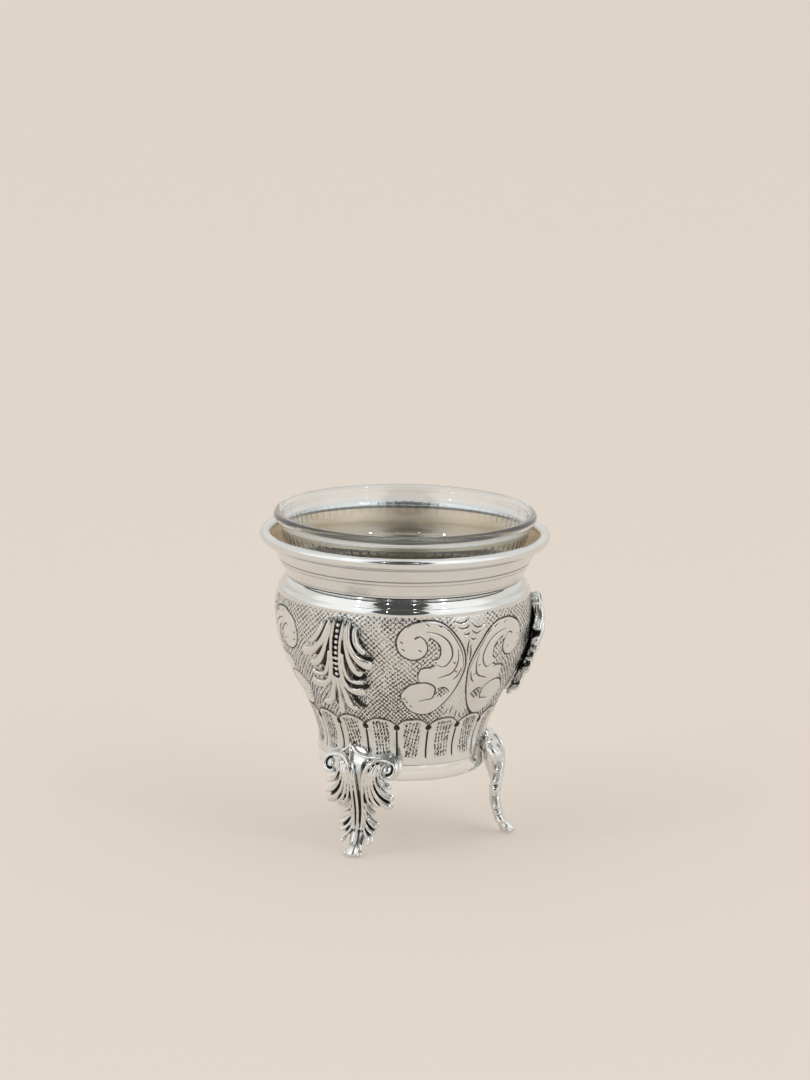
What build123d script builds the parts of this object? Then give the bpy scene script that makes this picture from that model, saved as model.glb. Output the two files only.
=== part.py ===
from build123d import *
import os
from math import atan2, degrees, sqrt

# Salt cellar: a silver holder on three cast feet, with cast leaf mounts and a lift-out glass liner.
# Millimetres, +Z up, origin on the axis at the level of the table.

# Heights, stacked up from the table
BASE_CLEARANCE = 15.0   # table to the underside of the base
BASE_HEIGHT = 3.8       # plain band under the body
BODY_HEIGHT = 36.5      # skirt edge to the neck seam
COLLAR_HEIGHT = 8.1     # neck seam to the centre of the lip wire
LINER_PROUD = 5.1       # centre of the lip wire to the top of the glass

# Silver sheet
WALL = 0.8

# Outline of the body: radius, and rise above the skirt edge
SKIRT_STEP = 0.3        # the skirt edge stands this far outside the base band
WAIST_RADIUS = 17.2
WAIST_RISE = 2.2
FLUTE_RADIUS = 18.1
FLUTE_RISE = 6.4
HAUNCH_RADIUS = 22.1
HAUNCH_RISE = 14.4
FLANK_RADIUS = 25.4
FLANK_RISE = 21.7
BELLY_RADIUS = 26.65
BELLY_RISE = 29.7
SHOULDER_RADIUS = 26.1
SHOULDER_RISE = 33.4
NECK_RADIUS = 24.3

# Base band and the bottom plate let into it
BASE_RADIUS = 17.2
BASE_BAND_WIDTH = 2.4
BASE_ROUND = 1.6
PLATE_THICKNESS = 0.9
PLATE_LEDGE = 0.8
PLATE_CLEARANCE = 0.05

# Flared collar and lip wire
COLLAR_STEP = 0.15      # the collar stands this far outside the neck
LIP_RADIUS = 30.0       # over the lip wire
LIP_WIRE = 2.3          # wire diameter
COLLAR_MID_FLARE = 1.9  # how far the collar has flared at its scribed line
COLLAR_MID_RISE = 3.7   # height of that line above the neck seam
SEAT_RISE = 2.7         # liner's seat above the neck seam

# Glass liner
LINER_CLEARANCE = 0.3   # between glass and silver, except at the flat seat
GLASS = 2.0
GLASS_NECK = 1.3        # thinner above the seat
GLASS_BOTTOM = 2.6
LINER_RIM_GAP = 0.5     # between the glass rim and the inside of the lip wire
LINER_RIM_ROUND = 1.0
LINER_NECK_RISE = 5.6   # straight glass above the seat
LINER_STRAIGHT = 8.0    # straight glass below the seat
LINER_BOWL_DEPTH = 22.0

# Cast feet
FEET = 3
FOOT_LAP = 7.8          # how far a foot climbs above the underside of the base
FOOT_WIDTH = 17.0
FOOT_KNEE = 4.3         # how far the knee stands out from the base band
FOOT_ANKLE = 2.95       # the same at the ankle
FOOT_TOE = 7.4          # the same at the tip of the toe
FOOT_METAL = 1.1        # thickness of the leg at the ankle
FOOT_RIDGE = 0.5        # raised ridges down the middle
FOOT_RIDGE_WIDTH = 1.0
FOOT_RIDGE_APART = 1.6
VOLUTE_RADIUS = 2.1
VOLUTE_EYE = 1.2
VOLUTE_PROUD = 0.6
SCROLL_WIDTH = 1.7
TOE_BALL = 1.4
FOOT_TURN = 3.8         # degrees that the last foot sits off its third, as it was soldered on

# Cast leaf mounts
LEAF_TOP_RISE = 32.9    # top of a leaf above the skirt edge
LEAF_LENGTH = 19.7
LEAF_TAIL = 2.0         # the tail hangs this far below the lobes
LEAF_WIDTH = 16.0
LEAF_STANDOFF = 0.6     # space between the wall and the back of a leaf
LEAF_THICKNESS = 1.6
LEAF_KEEL_INSET = 0.12  # the rib that is soldered to the wall is this much smaller than the midrib in front of it
LEAF_SEAM = 0.08        # solder between that rib and the wall
LEAF_LEAN = -5          # degrees that the last leaf leans, as it was soldered on
BEADS = 11
BEAD_RADIUS = 0.5
BEADED_LENGTH = 13.0

# Heights and radii that follow
SKIRT_Z = BASE_CLEARANCE + BASE_HEIGHT
SEAM_Z = SKIRT_Z + BODY_HEIGHT
LIP_Z = SEAM_Z + COLLAR_HEIGHT
SEAT_Z = SEAM_Z + SEAT_RISE
RIM_TOP_Z = LIP_Z + LINER_PROUD
LIP_MID_RADIUS = LIP_RADIUS - LIP_WIRE / 2
LIP_INNER_RADIUS = LIP_RADIUS - LIP_WIRE
BORE_RADIUS = NECK_RADIUS - WALL
SKIRT_RADIUS = BASE_RADIUS + SKIRT_STEP
FOOT_HEIGHT = BASE_CLEARANCE + FOOT_LAP
LEAF_TOP_Z = SKIRT_Z + LEAF_TOP_RISE
PITCH = 360 / FEET

BODY_STATIONS = (
    (SKIRT_RADIUS, SKIRT_Z),
    (WAIST_RADIUS, SKIRT_Z + WAIST_RISE),
    (FLUTE_RADIUS, SKIRT_Z + FLUTE_RISE),
    (HAUNCH_RADIUS, SKIRT_Z + HAUNCH_RISE),
    (FLANK_RADIUS, SKIRT_Z + FLANK_RISE),
    (BELLY_RADIUS, SKIRT_Z + BELLY_RISE),
    (SHOULDER_RADIUS, SKIRT_Z + SHOULDER_RISE),
    (NECK_RADIUS, SEAM_Z),
)


def body_line(offset):
    """The body's outline, moved out from the axis by offset."""
    return Spline(*[(radius + offset, z) for radius, z in BODY_STATIONS])


def section(*edges):
    """A closed face, in radius and height, from edges that meet end to end."""
    return make_face(list(edges))


def spin(face, half_angle=180):
    """Turns a face of radius and height about the axis, centred on +X."""
    turned = revolve(Plane.XZ * face, axis=Axis.Z, revolution_arc=2 * half_angle)
    return turned.rotate(Axis.Z, -half_angle)


def push(sketch, reach):
    """Extrudes a front view, in width and height, outwards along +X."""
    return extrude(Plane.YZ * sketch, amount=reach)


def wall_band(inner_offset, outer_offset):
    """Side view of a band that follows the body's outline, in radius and height."""
    inner = body_line(inner_offset)
    outer = body_line(outer_offset)
    return section(outer, Line(outer @ 1, inner @ 1), inner, Line(inner @ 0, outer @ 0))


def body_shell():
    return spin(wall_band(-WALL, 0))


def base_outline():
    """The base band's outer edge, from the skirt down to the underside."""
    top = (BASE_RADIUS, SKIRT_Z)
    turn = (BASE_RADIUS, BASE_CLEARANCE + BASE_ROUND)
    foot = (BASE_RADIUS - BASE_ROUND, BASE_CLEARANCE)
    return Line(top, turn), RadiusArc(turn, foot, BASE_ROUND), foot, top


def base_ring():
    side, corner, foot, top = base_outline()
    inner = BASE_RADIUS - BASE_BAND_WIDTH
    shelf = BASE_CLEARANCE + PLATE_THICKNESS
    inside = Polyline(foot, (inner, BASE_CLEARANCE), (inner, shelf), (inner + PLATE_LEDGE, shelf),
                      (inner + PLATE_LEDGE, SKIRT_Z), top)
    return spin(section(side, corner, inside))


def base_plate():
    radius = BASE_RADIUS - BASE_BAND_WIDTH + PLATE_LEDGE - PLATE_CLEARANCE
    low = BASE_CLEARANCE + PLATE_THICKNESS
    return Pos(0, 0, low) * Cylinder(radius, PLATE_THICKNESS, align=(Align.CENTER, Align.CENTER, Align.MIN))


def rim_wire():
    return Pos(0, 0, LIP_Z) * Torus(LIP_MID_RADIUS, LIP_WIRE / 2)


def radius_at(line, z):
    """Radius of a rising outline at a height."""
    low, high = 0.0, 1.0
    for _ in range(40):
        middle = (low + high) / 2
        if (line @ middle).Y < z:
            low = middle
        else:
            high = middle
    return (line @ low).X


def flare_line(offset):
    """The collar's outline from the neck seam to the lip, moved out from the axis by offset."""
    return Spline(
        (NECK_RADIUS + COLLAR_STEP + offset, SEAM_Z),
        (NECK_RADIUS + COLLAR_MID_FLARE + offset, SEAM_Z + COLLAR_MID_RISE),
        (LIP_MID_RADIUS + offset, LIP_Z),
    )


def filled(line):
    """The solid inside a rising outline."""
    return spin(section(line, Polyline(line @ 1, (0, (line @ 1).Y), (0, (line @ 0).Y), line @ 0)))


def neck_collar():
    upright = (Align.CENTER, Align.CENTER, Align.MIN)
    above_seat = Pos(0, 0, SEAT_Z) * Cylinder(LIP_RADIUS, COLLAR_HEIGHT, align=upright)
    bore = Pos(0, 0, SEAM_Z) * Cylinder(BORE_RADIUS, COLLAR_HEIGHT, align=upright)
    return filled(flare_line(0)) - (filled(flare_line(-WALL)) & above_seat) - bore - rim_wire()


def seat_width():
    """Width of the flat shoulder on which the liner hangs."""
    return radius_at(flare_line(-WALL), SEAT_Z) - BORE_RADIUS - LINER_CLEARANCE


def bowl_line(radius, top, depth):
    """A round bowl's outline from its upper edge to the axis."""
    middle = (radius * sqrt(0.5), top - depth * sqrt(0.5))
    return Spline((radius, top), middle, (0, top - depth), tangents=((0, -1), (-1, 0)))


def glass_liner():
    neck = BORE_RADIUS - LINER_CLEARANCE
    shoulder = BORE_RADIUS + seat_width()
    rim_outer = LIP_INNER_RADIUS - LINER_RIM_GAP
    rim_mid = rim_outer - LINER_RIM_ROUND
    rim_z = RIM_TOP_Z - LINER_RIM_ROUND
    bowl_z = SEAT_Z - LINER_STRAIGHT
    under_rim = (rim_mid, rim_z - LINER_RIM_ROUND)
    diagonal = LINER_RIM_ROUND * sqrt(0.5)
    roll = ThreePointArc(under_rim, (rim_mid + diagonal, rim_z + diagonal), (rim_mid - LINER_RIM_ROUND, rim_z))
    inside = Polyline((rim_mid - LINER_RIM_ROUND, rim_z), (shoulder - GLASS_NECK, SEAT_Z + LINER_NECK_RISE),
                      (shoulder - GLASS_NECK, SEAT_Z + GLASS), (neck - GLASS, SEAT_Z - GLASS / 2),
                      (neck - GLASS, bowl_z))
    well_depth = LINER_BOWL_DEPTH - GLASS_BOTTOM
    well = bowl_line(neck - GLASS, bowl_z, well_depth)
    axis_line = Line((0, bowl_z - well_depth), (0, bowl_z - LINER_BOWL_DEPTH))
    bowl = bowl_line(neck, bowl_z, LINER_BOWL_DEPTH)
    outside = Polyline((neck, bowl_z), (neck, SEAT_Z), (shoulder, SEAT_Z), (shoulder, SEAT_Z + LINER_NECK_RISE),
                       under_rim)
    return spin(section(roll, inside, well, axis_line, bowl, outside))


def holder_mass():
    """Everything inside the outer skin of the base and body, for fitting the castings to it."""
    side, corner, foot, top = base_outline()
    skin = body_line(0)
    return spin(section(Polyline((0, BASE_CLEARANCE), foot), corner, side, Line(top, skin @ 0), skin,
                        Polyline(skin @ 1, (0, SEAM_Z), (0, BASE_CLEARANCE))))


def lobe(root, tip, root_radius, tip_radius):
    """A tapering lobe with round ends."""
    ends = (Pos(*root) * Circle(root_radius)).edges() + (Pos(*tip) * Circle(tip_radius)).edges()
    return make_hull(ends)


def both_sides(half):
    return half + mirror(half, about=Plane.YZ)


def foot_side(proud=0.0):
    """Side view of a foot: an S-curve from the wall over the knee to the toe, in radius and height."""
    height = FOOT_HEIGHT
    root = (BASE_RADIUS + proud, height)
    tip = (BASE_RADIUS + FOOT_TOE, 0.03 * height)
    front = Spline(
        root,
        (BASE_RADIUS + 0.72 * FOOT_KNEE + proud, 0.87 * height),
        (BASE_RADIUS + FOOT_KNEE + proud, 0.71 * height),
        (BASE_RADIUS + FOOT_ANKLE + proud, 0.35 * height),
        (BASE_RADIUS + 0.6 * FOOT_TOE + proud, 0.13 * height),
        tip,
    )
    heel = (BASE_RADIUS + FOOT_ANKLE + FOOT_METAL / 2, 0)
    sole = Polyline(tip, (BASE_RADIUS + FOOT_TOE - TOE_BALL / 2, 0), heel)
    back = Spline(
        heel,
        (BASE_RADIUS + FOOT_ANKLE - FOOT_METAL, 0.33 * height),
        (BASE_RADIUS, BASE_CLEARANCE),
    )
    inside = BASE_RADIUS - BASE_BAND_WIDTH
    return section(front, sole, back, Polyline((BASE_RADIUS, BASE_CLEARANCE), (inside, BASE_CLEARANCE),
                                               (inside, height), root))


def foot_front():
    """Front view of a foot: leg, two C-scrolls and acanthus lobes, in width and height."""
    def at(across, up):
        return across * FOOT_WIDTH / 2, up * FOOT_HEIGHT

    leg = Polygon(at(-0.12, 1.0), at(-0.26, 0.72), at(-0.31, 0.4), at(-0.29, 0.15), at(-0.2, 0),
                  at(0.2, 0), at(0.29, 0.15), at(0.31, 0.4), at(0.26, 0.72), at(0.12, 1.0), align=None)
    volute = at(1.0 - 2 * VOLUTE_RADIUS / FOOT_WIDTH, 0.81)
    scroll = SlotArc(ThreePointArc(at(0.12, 0.84), at(0.5, 0.92), volute), SCROLL_WIDTH)
    half = Pos(*volute) * Circle(VOLUTE_RADIUS) + scroll
    for root, tip, root_radius, tip_radius in (
        ((0.18, 0.81), (0.82, 0.62), 0.07, 0.045),
        ((0.18, 0.73), (0.93, 0.49), 0.075, 0.055),
        ((0.15, 0.62), (0.6, 0.45), 0.07, 0.045),
        ((0.14, 0.46), (0.5, 0.33), 0.07, 0.035),
        ((0.14, 0.38), (0.55, 0.22), 0.065, 0.035),
        ((0.12, 0.24), (0.4, 0.12), 0.05, 0.03),
    ):
        half += lobe(at(*root), at(*tip), root_radius * FOOT_WIDTH, tip_radius * FOOT_WIDTH)
    return leg + both_sides(half), volute


def foot():
    reach = BASE_RADIUS + 2 * FOOT_TOE
    spread = degrees(atan2(FOOT_WIDTH, BASE_RADIUS))
    outline, volute = foot_front()
    casting = spin(foot_side(), spread) & push(outline, reach)
    strips = Pos(0, FOOT_HEIGHT / 2) * GridLocations(FOOT_RIDGE_APART, 0, 2, 1)
    ridges = Sketch() + [place * Rectangle(FOOT_RIDGE_WIDTH, FOOT_HEIGHT) for place in strips]
    casting += spin(foot_side(FOOT_RIDGE), spread) & push(ridges, reach)
    turn = degrees(atan2(volute[0], BASE_RADIUS + FOOT_KNEE))
    for side in (turn, -turn):
        eye = Pos(0, 0, volute[1]) * Rot(0, 90, 0) * Cylinder(
            VOLUTE_EYE, BASE_RADIUS + FOOT_KNEE + VOLUTE_PROUD, align=(Align.CENTER, Align.CENTER, Align.MIN))
        casting += eye.rotate(Axis.Z, side)
    toe = Pos(BASE_RADIUS + FOOT_TOE - TOE_BALL, 0, TOE_BALL * 0.8) * Sphere(TOE_BALL)
    table = Cylinder(2 * reach, FOOT_HEIGHT, align=(Align.CENTER, Align.CENTER, Align.MAX))
    return casting + (toe - table) - holder_mass()


def wall_radius(z):
    """Radius of the body's outer skin at a height."""
    return radius_at(body_line(0), z)


def on_leaf(across, down):
    """A point of a leaf's front view, from shares of its half width and its length."""
    return across * LEAF_WIDTH / 2, -down * LEAF_LENGTH


def leaf_midrib():
    """Front view of a leaf's midrib and tail, in width and height."""
    tail = 1 + LEAF_TAIL / LEAF_LENGTH
    return Polygon(on_leaf(-0.16, 0), on_leaf(-0.12, 0.7), on_leaf(-0.06, tail), on_leaf(0.06, tail),
                   on_leaf(0.12, 0.7), on_leaf(0.16, 0), align=None)


def leaf_front():
    """Front view of a leaf mount: midrib with its tail, and three pairs of doubled lobes, in width and height."""
    half = Sketch()
    for root, tip, root_radius, tip_radius in (
        ((0.25, 0.08), (0.68, 0.38), 0.04, 0.035),
        ((0.15, 0.06), (0.93, 0.5), 0.05, 0.06),
        ((0.12, 0.2), (0.62, 0.6), 0.04, 0.035),
        ((0.12, 0.4), (0.66, 0.68), 0.04, 0.035),
        ((0.1, 0.42), (0.72, 0.77), 0.04, 0.05),
        ((0.08, 0.55), (0.5, 0.94), 0.04, 0.035),
    ):
        half += lobe(on_leaf(*root), on_leaf(*tip), root_radius * LEAF_WIDTH, tip_radius * LEAF_WIDTH)
    return leaf_midrib() + both_sides(half)


def leaf():
    reach = BELLY_RADIUS + LEAF_WIDTH
    spread = degrees(atan2(LEAF_WIDTH, SKIRT_RADIUS))
    top = Pos(0, LEAF_TOP_Z)
    face_offset = LEAF_STANDOFF + LEAF_THICKNESS
    casting = spin(wall_band(LEAF_STANDOFF, face_offset), spread) & push(top * leaf_front(), reach)
    keel_front = top * offset(leaf_midrib(), -LEAF_KEEL_INSET)
    keel_offset = LEAF_STANDOFF + LEAF_THICKNESS / 2
    casting += spin(wall_band(LEAF_SEAM, keel_offset), spread) & push(keel_front, reach)
    for count in range(BEADS):
        z = LEAF_TOP_Z - BEADED_LENGTH * (count + 0.5) / BEADS
        casting += Pos(wall_radius(z) + face_offset, 0, z) * Rot(0, 90, 0) * Sphere(BEAD_RADIUS)
    return casting


os.makedirs("parts", exist_ok=True)
pieces = {
    "body_shell": body_shell(),
    "base_ring": base_ring(),
    "base_plate": base_plate(),
    "neck_collar": neck_collar(),
    "rim_wire": rim_wire(),
    "glass_liner": glass_liner(),
}
foot_casting = foot()
leaf_casting = leaf()
leaf_middle = Axis((0, 0, LEAF_TOP_Z - LEAF_LENGTH / 2), (1, 0, 0))
for number in range(FEET):
    turn, lean = (FOOT_TURN, LEAF_LEAN) if number == FEET - 1 else (0, 0)
    pieces[f"foot_{number + 1}"] = foot_casting.rotate(Axis.Z, number * PITCH + turn)
    pieces[f"leaf_{number + 1}"] = leaf_casting.rotate(leaf_middle, lean).rotate(Axis.Z, number * PITCH)
for name, piece in pieces.items():
    export_step(piece, f"parts/{name}.step")
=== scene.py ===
import math

import bpy
import numpy as np
from mathutils import Matrix, Vector


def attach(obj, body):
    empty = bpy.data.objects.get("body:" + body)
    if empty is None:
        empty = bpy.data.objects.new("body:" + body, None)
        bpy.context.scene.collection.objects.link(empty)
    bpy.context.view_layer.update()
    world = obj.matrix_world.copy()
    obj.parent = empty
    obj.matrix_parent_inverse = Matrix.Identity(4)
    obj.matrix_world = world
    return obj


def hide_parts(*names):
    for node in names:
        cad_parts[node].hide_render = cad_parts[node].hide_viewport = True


# Looks of a silver salt cellar: engraved body, spun collar, cast feet and leaf mounts, and a glass liner.
# Sizes are in millimetres and degrees, and become metres when a mesh is made.

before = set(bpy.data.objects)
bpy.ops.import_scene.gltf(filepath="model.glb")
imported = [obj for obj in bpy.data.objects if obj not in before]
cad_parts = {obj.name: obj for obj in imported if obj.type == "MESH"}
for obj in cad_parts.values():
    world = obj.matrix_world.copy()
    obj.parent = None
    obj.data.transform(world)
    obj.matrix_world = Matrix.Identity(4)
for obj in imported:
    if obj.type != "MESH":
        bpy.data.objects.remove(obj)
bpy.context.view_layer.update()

MM = 0.001
FEET = 3
PITCH = 360 / FEET

# Heights at which pieces meet
BASE_TOP_Z = 18.8  # the skirt of the body stands on the base band
NECK_Z = 55.3  # seam of the body and the collar
COLLAR_SEAT_Z = 58.0  # the liner hangs here

# Body outline: radius and height, from the skirt edge to the neck seam
BODY_STATIONS = ((17.5, BASE_TOP_Z), (17.2, 21.0), (18.1, 25.2), (22.1, 33.2), (25.4, 40.5), (26.65, 48.5),
                 (26.1, 52.2), (24.3, NECK_Z))
WALL = 0.8
BODY_COLUMNS = 1200
BODY_ROWS = 300
LINING_ROWS = 24
LINING_DULL_AND_REFLECTION = 0.6  # how dull the inside of the body and of the collar's bore is, with its painted brown reflection, from 0 to 1
DENT_DEPTH = 0.03

# Engraving on the body
FLAT_RADIUS = 24.0  # radius at which the engraved band is laid flat
HATCH_TOP_Z = 51.9  # the polished shoulder starts here
HATCH_PITCH = 0.76
HATCH_DEPTH = 0.15
HATCH_WANDER = 0.42  # radians of phase by which the strokes wander
HATCH_SWAY = 0.9  # and by which whole stretches of them sway
HATCH_LIGHTER_Z = (30, 44)  # the hatching gets lighter between these heights
MIDDLE_HATCH = 0.25  # share of the hatching that is left in the middle of a cartouche
MIDDLE_SPAN = (6, 10)  # degrees off that middle over which it comes back
GROUND_DEPTH = 0.04  # the hatched ground lies this much lower
LINE_DEPTH = 0.22
LINE_DARKNESS = 0.75
DASH_REACH = (0.2, 0.15)  # half of a short dash, across and up
DASH_HALF_WIDTH = 0.16
SHOULDER_ROLL = 1.7
SHOULDER_ROLL_HEIGHT = 0.15
SHADE_REACH = 0.86  # painted shade: the wall is dark under a leaf, out to this share of its lobes
SHADE_HALF_WIDTH = 0.9
SHADE_DARKNESS = 0.9

# Tongues round the foot of the body
TONGUES = 18
TONGUE_TURN = -4.0  # degrees that the row of tongues is turned
TONGUE_FOOT_Z = 19.6
TONGUE_CROWN = 0.22
CROWN_FULL_Z = 21.0
ARCH_TOP_Z = 29.1
ARCH_SPRING_Z = 27.4
ARCH_POWER = 2.4  # how square the arches are
ARCH_HALF_WIDTH = 0.22  # of the cut line
DIVIDER_HALF_WIDTH = 0.24
DIVIDER_TOP_Z = 26.3
DOT_DROP = 0.45  # the punched dots lie this far below the springing of the arches
DOT_SIZE = (0.42, 0.75)  # radius of a dot's core and of its edge
PANEL_FOOT_Z = (19.9, 21.0)
PANEL_TOP_GAP = (0.45, 0.8)  # the dashed panels fade out this far below the arch
PANEL_HALF_WIDTH = 1.35
PANEL_FLARE = 0.06  # widening for each millimetre up
DASH_ROW_PITCH = 0.85
DASH_COLUMN_PITCH = 0.66

# Collar and lip wire
LIP_MID = 28.85
LIP_Z = 63.4
LIP_WIRE = 2.3
LIP_ROWS = 64
LIP_DENT = 0.008
COLLAR_LINE = ((24.45, NECK_Z), (26.2, 59.0), (LIP_MID, LIP_Z))
COLLAR_ROWS = 220
COLLAR_SCRIBES = ((59.0, 0.06), (58.2, 0.035), (61.7, 0.045), (55.75, 0.03))  # height and depth
SCRIBE_HALF_WIDTH = 0.22
SCRIBE_BLACK = 0.13  # a line scribed this deep would be black
SPIN_LINE = 0.006  # height of the lines that the spinning left
SPIN_LINE_ROWS = 7
SEAM_ROWS = 3  # rows at the collar's edges without such lines
SEAM_DARKNESS = 0.8
BORE = 23.5
BORE_BREAK = 0.1  # chamfer round the bore
FLARE_DULL_AND_REFLECTION = 0.85  # how dull the flare is above the seat, with its painted brown reflection
FLARE_WHOLLY_DULL_AND_REFLECTED_Z = (59.7, 60.5)
LATHE_COLUMNS = 288

# Base band and the disc in it
BASE_RADIUS = 17.2
BASE_LOW_Z = 15.0
BASE_INNER = 14.8
BASE_ROUND = 1.6
BASE_BULGE = 0.25
BASE_DENT = 0.012
BASE_CORNER_ROWS = 14
BASE_SIDE_ROWS = 16
BASE_SEAM_DARKNESS = 0.3
PLATE_LEDGE = 0.8
PLATE_THICKNESS = 0.9
PLATE_CLEARANCE = 0.05
PLATE_BREAK = 0.1  # chamfer round the disc
PLATE_RIPPLE = 0.02
PLATE_ROWS = 60

# Glass liner
GLASS = 2.0
GLASS_BOTTOM = 2.6
RIM_MID = 26.2
RIM_Z = 67.5
RIM_ROUND = 1.0
RIM_TURN = (-28, 150)  # degrees through which the rim is rolled
LINER_SHOULDER = 24.58
LINER_BREAK = 0.2  # chamfer under the shoulder
LINER_NECK = 23.2
LINER_WELL = LINER_NECK - GLASS
LINER_BOWL_Z = 50.0
LINER_BOWL_DEPTH = 22.0
BOWL_ROWS = 40
FLUTED_WALL = ((LINER_SHOULDER, 59.0), (24.7, 61.0), (25.1, 63.0), (25.7, 64.8), (26.35, 66.1), (26.95, 66.9))
INNER_WALL = ((25.25, 67.6), (25.0, 66.7), (24.4, 65.0), (23.8, 63.2), (23.35, 61.0), (22.9, 59.0),
              (LINER_WELL, 57.0), (LINER_WELL, LINER_BOWL_Z))
GLASS_FLUTES = 84
GLASS_FLUTE_DEPTH = 0.09
FLUTE_SHARPNESS = 8
FLUTE_COLUMNS = 12
FLUTE_FOOT_Z = (62.2, 62.8)
FLUTE_TOP_Z = (64.5, 65.0)

# Castings
LEAF_VOXEL = 0.11
FOOT_VOXEL = 0.13
LEAF_DARK_BAND = (0.2, 0.5, 1.55, 2.1)  # heights off the wall between which a leaf is darkened with painted shade
FOOT_DARK_BAND = (-1.4, -0.9, -0.35, 0.2)  # the same painted shade off a foot's front
DARK_FACING = (0.3, 0.8)  # that painted shade is only where the skin faces outwards
HOLLOW_BAND = (0.02, 0.14)  # a hollow starts to be dark and is black at these depths
LEAF_TOP_Z = 51.7
LEAF_LENGTH = 19.7
LEAF_BACK = 0.6  # space between the wall and the back of a leaf
LEAF_LEAN = -5.0  # the last leaf leans, as it was soldered on
CAST_SIDES = 14  # points round a strand or a bead
BALL_RINGS = 9
BEADS = 11
BEAD_PITCH = 1.17
BEAD_SIZE = 0.44
BEAD_OUT = 1.85  # middle of a bead off the wall
BEAD_SINK = 0.55  # the topmost beads sink in by up to this much
FOOT_FRONT = ((17.5, 22.8), (18.4, 21.0), (19.8, 19.4), (20.6, 17.2), (20.6, 14.6), (20.0, 11.0), (19.7, 8.1),
              (20.1, 5.4), (21.3, 2.7), (22.8, 0.8))
FOOT_BACK = ((16.9, 22.8), (17.0, 15.4), (18.6, 11.2), (19.2, 7.3), (19.6, 3.6), (20.8, 0.4))
FOOT_TURNS = (0.0, 0.0, 3.8)  # the last foot sits a little off its third
FOOT_UNSHADED_TOP_Z = (19.0, 20.0)  # a foot's front has no painted shade above these heights
FOOT_UNSHADED_TOE_Z = (3.5, 5.0)  # and below these


def run(line):
    """Length along a line up to each of its points."""
    return np.concatenate([[0], np.cumsum(np.linalg.norm(np.diff(line, axis=0), axis=1))])


def smooth(points, count):
    """Points on a natural cubic curve through the given ones."""
    given = np.array(points, float)
    at = run(given)
    gap = np.diff(at)
    system = np.eye(len(at))
    known = np.zeros_like(given)
    for i in range(1, len(at) - 1):
        system[i, i - 1:i + 2] = gap[i - 1], 2 * (gap[i - 1] + gap[i]), gap[i]
        known[i] = 6 * ((given[i + 1] - given[i]) / gap[i] - (given[i] - given[i - 1]) / gap[i - 1])
    bend = np.linalg.solve(system, known)
    wanted = np.linspace(0, at[-1], count)
    span = np.clip(np.searchsorted(at, wanted) - 1, 0, len(at) - 2)
    width = gap[span][:, None]
    after = (wanted - at[span])[:, None]
    before = width - after
    return ((bend[span] * before ** 3 + bend[span + 1] * after ** 3) / (6 * width)
            + (given[span] / width - bend[span] * width / 6) * before
            + (given[span + 1] / width - bend[span + 1] * width / 6) * after)


def even(line, count):
    """The same line as evenly spaced points."""
    along = run(line)
    wanted = np.linspace(0, along[-1], count)
    return np.stack([np.interp(wanted, along, part) for part in line.T], axis=1)


def ease(low, high, value):
    """0 below low, 1 above high and smooth between."""
    share = np.clip((value - low) / (high - low), 0, 1)
    return share * share * (3 - 2 * share)


def full_turn(count):
    """Evenly spaced angles round the axis, in radians."""
    return np.arange(count) * 2 * math.pi / count


def dome(value):
    """1 at zero, falling to 0 at 1 and beyond, to either side."""
    return 1 - np.clip(np.abs(value), 0, 1) ** 2


BODY_LINE = even(smooth(BODY_STATIONS, 2000), BODY_ROWS)
BODY_RUN = run(BODY_LINE)


def wall_radius(z):
    return np.interp(z, BODY_LINE[:, 1], BODY_LINE[:, 0])


def wall_run(z):
    return np.interp(z, BODY_LINE[:, 1], BODY_RUN)


# Meshes

def make_mesh(name, points, face_groups):
    """A smooth-shaded mesh from points in millimetres and groups of faces with equal corner counts."""
    mesh = bpy.data.meshes.new(name)
    mesh.vertices.add(len(points))
    mesh.vertices.foreach_set("co", (points * MM).astype(np.float32).ravel())
    corners = np.concatenate([group.ravel() for group in face_groups]).astype(np.int32)
    counts = np.concatenate([np.full(len(group), group.shape[1]) for group in face_groups])
    mesh.loops.add(len(corners))
    mesh.loops.foreach_set("vertex_index", corners)
    mesh.polygons.add(len(counts))
    mesh.polygons.foreach_set("loop_start", (np.cumsum(counts) - counts).astype(np.int32))
    mesh.polygons.foreach_set("use_smooth", np.ones(len(counts), bool))
    mesh.update(calc_edges=True)
    mesh.validate()
    return mesh


def set_skin(mesh, values, kind="patina_and_shade"):
    """Stores for each point, from 0 to 1, how dark it is with patina and painted shade, how dull it is with a
    painted brown reflection, or how polished it is.
    """
    attribute = mesh.attributes.new(kind, "FLOAT", "POINT")
    attribute.data.foreach_set("value", np.clip(values, 0, 1).astype(np.float32).ravel())


def add_piece(name, mesh, material, body, slot, *nodes):
    piece = bpy.data.objects.new(name, mesh)
    bpy.context.scene.collection.objects.link(piece)
    mesh.materials.append(material)
    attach(piece, body)
    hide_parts(*nodes)


def outward(profile, closed):
    """Unit normals of a profile that runs up its outside."""
    if closed:
        ahead = np.roll(profile, -1, axis=0) - np.roll(profile, 1, axis=0)
    else:
        ahead = np.gradient(profile, axis=0)
    ahead /= np.maximum(np.linalg.norm(ahead, axis=1), 1e-9)[:, None]
    return np.stack([ahead[:, 1], -ahead[:, 0]], axis=1)


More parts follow.
